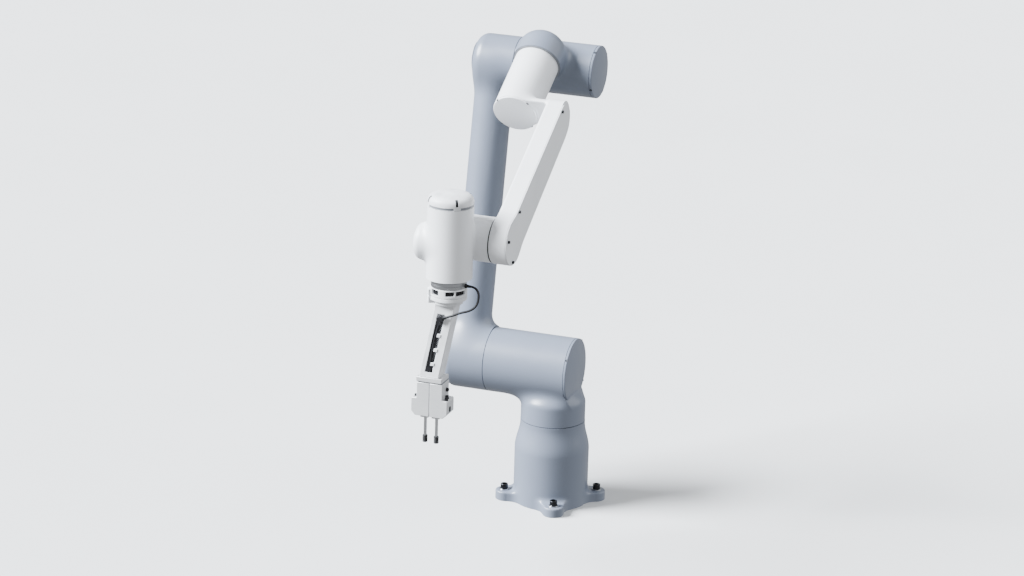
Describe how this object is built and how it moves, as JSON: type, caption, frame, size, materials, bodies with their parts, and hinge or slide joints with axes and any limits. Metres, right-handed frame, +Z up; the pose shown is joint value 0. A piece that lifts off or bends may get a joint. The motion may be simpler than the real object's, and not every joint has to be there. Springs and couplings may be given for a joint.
{
  "type": "collaborative robot arm",
  "caption": "Floor-mounted jointed robot arm with round joint housings, offset upper arm, flat-sided forearm link, wrist and a slim two-rod gripper on a slanted bracket.",
  "frame": {"origin": "centre of the base's bottom face, which is the centre of its bolt circle", "axes": "+Z up along the first joint's axis; the arm reaches towards -Y; the shoulder, elbow and wrist-pitch axes are parallel to X"},
  "size_m": [0.3895, 0.7669, 1.1331],
  "materials": {
    "blue_grey_paint": "satin",
    "white_paint": "satin",
    "cap_plastic": "satin",
    "light_ring": "satin",
    "seal_rubber": "matte",
    "machined_steel": "machined",
    "motor_aluminium": "satin",
    "screw_steel": "satin",
    "panel_paint": "satin",
    "black_plastic": "satin",
    "flange_aluminium": "machined",
    "socket_metal": "satin",
    "adapter_plastic": "satin",
    "bracket_plastic": "satin",
    "gripper_aluminium": "satin",
    "rod_steel": "polished",
    "tip_rubber": "matte",
    "lead_rubber": "satin"
  },
  "bodies": {
    "base": {"base_casting": "blue_grey_paint", "rear_panel": "panel_paint", "panel_screws": "screw_steel", "panel_plugs": "black_plastic", "yaw_seal": "seal_rubber", "yaw_gearbox": "machined_steel", "yaw_motor": "motor_aluminium"},
    "shoulder": {"shoulder_housing": "blue_grey_paint", "shoulder_end_cap": "blue_grey_paint", "shoulder_cap_screws": "screw_steel", "shoulder_seal": "seal_rubber", "shoulder_gearbox": "machined_steel", "shoulder_motor": "motor_aluminium"},
    "upper_arm": {"upper_arm_casting": "blue_grey_paint", "upper_arm_foot_cover": "blue_grey_paint", "upper_arm_top_cover": "blue_grey_paint", "upper_arm_screws": "screw_steel", "arm_harness": "black_plastic"},
    "elbow": {"elbow_housing": "blue_grey_paint", "elbow_end_cap": "blue_grey_paint", "elbow_cap_screws": "screw_steel", "elbow_seal": "seal_rubber", "elbow_gearbox": "machined_steel", "elbow_motor": "motor_aluminium", "elbow_back_cover": "blue_grey_paint", "roll_seal": "seal_rubber", "roll_gearbox": "machined_steel"},
    "forearm": {"forearm_casting": "white_paint", "forearm_end_cap": "white_paint", "forearm_cap_screws": "screw_steel", "forearm_side_cover": "white_paint", "forearm_cover_screws": "screw_steel", "roll_motor": "motor_aluminium", "pitch_seal": "seal_rubber", "pitch_gearbox": "machined_steel", "pitch_motor": "motor_aluminium"},
    "wrist": {"wrist_housing": "white_paint", "wrist_side_cap": "white_paint", "wrist_top_cap": "cap_plastic", "wrist_light_ring": "light_ring", "tool_gearbox": "machined_steel", "tool_motor": "motor_aluminium"},
    "tool": {"tool_flange": "flange_aluminium", "flange_socket": "socket_metal", "tool_adapter": "adapter_plastic", "gripper_bracket": "bracket_plastic", "bracket_leads": "black_plastic", "tool_lead": "lead_rubber", "lead_plug": "black_plastic", "gripper_plate": "gripper_aluminium", "gripper_body": "gripper_aluminium", "gripper_ports": "black_plastic"},
    "jaw_left": {"jaw_left": "rod_steel", "fingertip_left": "tip_rubber"},
    "jaw_right": {"jaw_right": "rod_steel", "fingertip_right": "tip_rubber"}
  },
  "joints": [
    {"name": "base_yaw", "type": "hinge", "parent": "base", "child": "shoulder", "pos_m": [0, 0, 0.205], "axis": [0, 0, 1], "range_deg": [-270, 270]},
    {"name": "shoulder_pitch", "type": "hinge", "parent": "shoulder", "child": "upper_arm", "pos_m": [0, 0, 0.3312], "axis": [1, 0, 0], "range_deg": [-139, 161]},
    {"name": "elbow_pitch", "type": "hinge", "parent": "upper_arm", "child": "elbow", "pos_m": [0, 0.13487, 1.02827], "axis": [-1, 0, 0], "range_deg": [-18, 266]},
    {"name": "forearm_roll", "type": "hinge", "parent": "elbow", "child": "forearm", "pos_m": [-0.0788, 0.09396, 1.09703], "axis": [0, -0.8594, -0.5113], "range_deg": [-180, 180]},
    {"name": "wrist_pitch", "type": "hinge", "parent": "forearm", "child": "wrist", "pos_m": [-0.0788, -0.44901, 0.77399], "axis": [1, 0, 0], "range_deg": [-200, 105]},
    {"name": "tool_roll", "type": "hinge", "parent": "wrist", "child": "tool", "pos_m": [-0.0788, -0.51771, 0.77399], "axis": [0, 0, 1], "range_deg": [-270, 270]},
    {"name": "jaw_left_slide", "type": "slide", "parent": "tool", "child": "jaw_left", "axis": [-1, 0, 0], "range_m": [-0.004, 0.011]},
    {"name": "jaw_right_slide", "type": "slide", "parent": "tool", "child": "jaw_right", "axis": [1, 0, 0], "range_m": [-0.004, 0.011]}
  ],
  "couplings": [
    {"joint": "jaw_right_slide", "follows": "jaw_left_slide", "ratio": 1}
  ]
}
